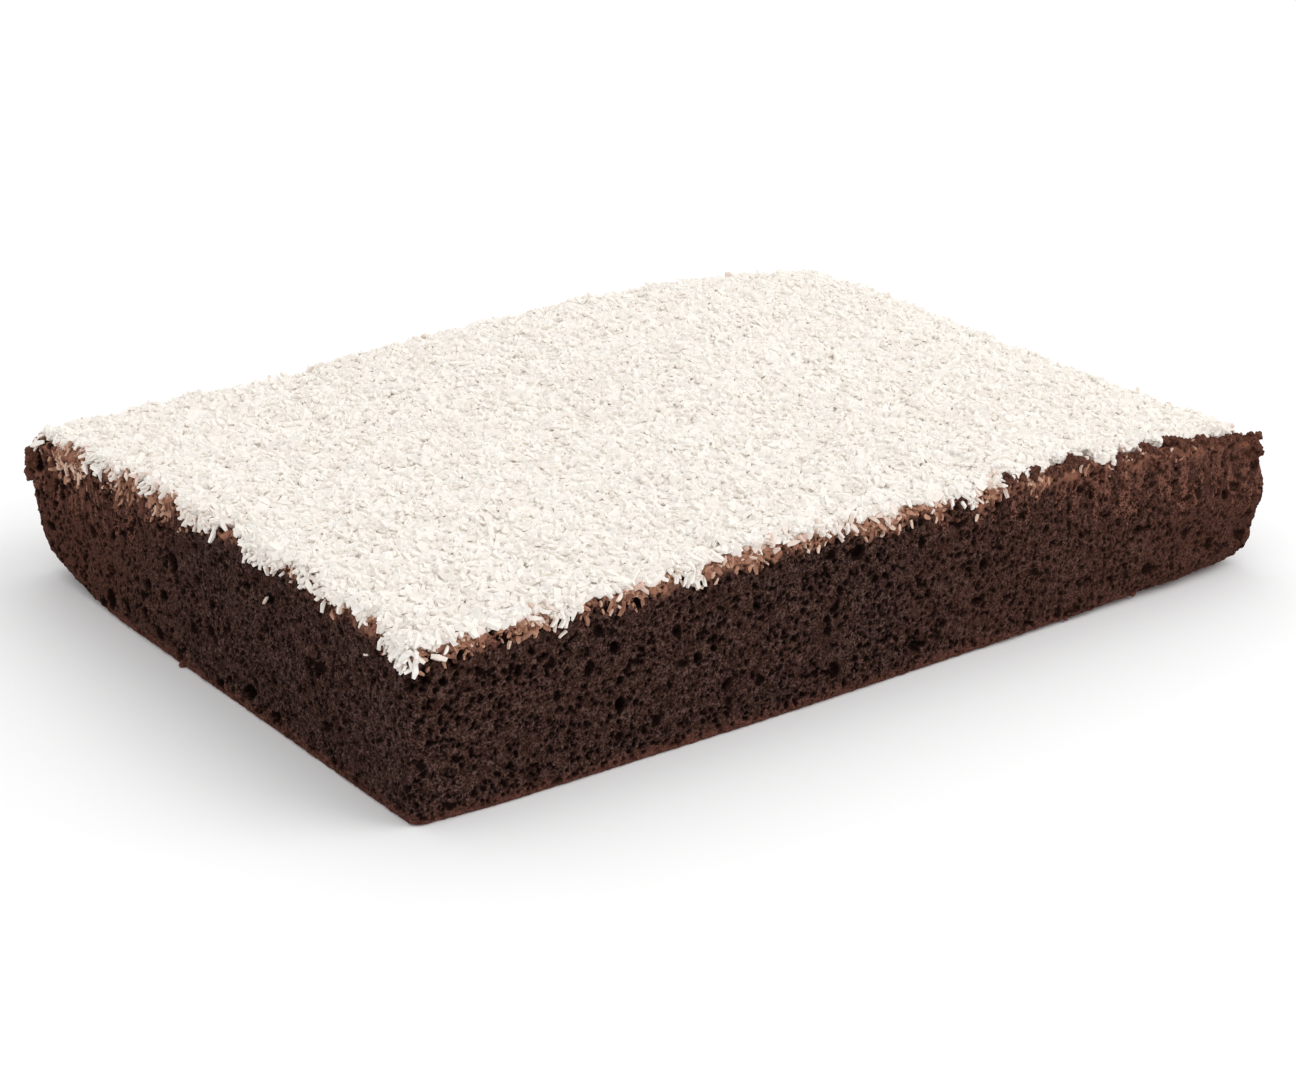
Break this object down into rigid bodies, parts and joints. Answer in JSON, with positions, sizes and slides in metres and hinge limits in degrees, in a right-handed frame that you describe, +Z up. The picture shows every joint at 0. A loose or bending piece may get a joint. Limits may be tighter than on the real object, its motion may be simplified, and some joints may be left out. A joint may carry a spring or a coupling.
{
  "type": "coconut cake",
  "caption": "Whole low rectangular chocolate sponge cake with a gently domed top covered in coconut shreds.",
  "frame": {"origin": "middle of the cake's bounding box at its flat base, which rests on z = 0", "axes": "+X along the longer side, +Y along the shorter side, +Z up out of the coconut top"},
  "size_m": [0.2584, 0.185, 0.047],
  "materials": {
    "chocolate_sponge": "matt open crumb",
    "coconut": "dry matt shreds"
  },
  "bodies": {
    "root": {"sponge": "chocolate_sponge", "coconut_layer": "coconut"}
  },
  "joints": []
}
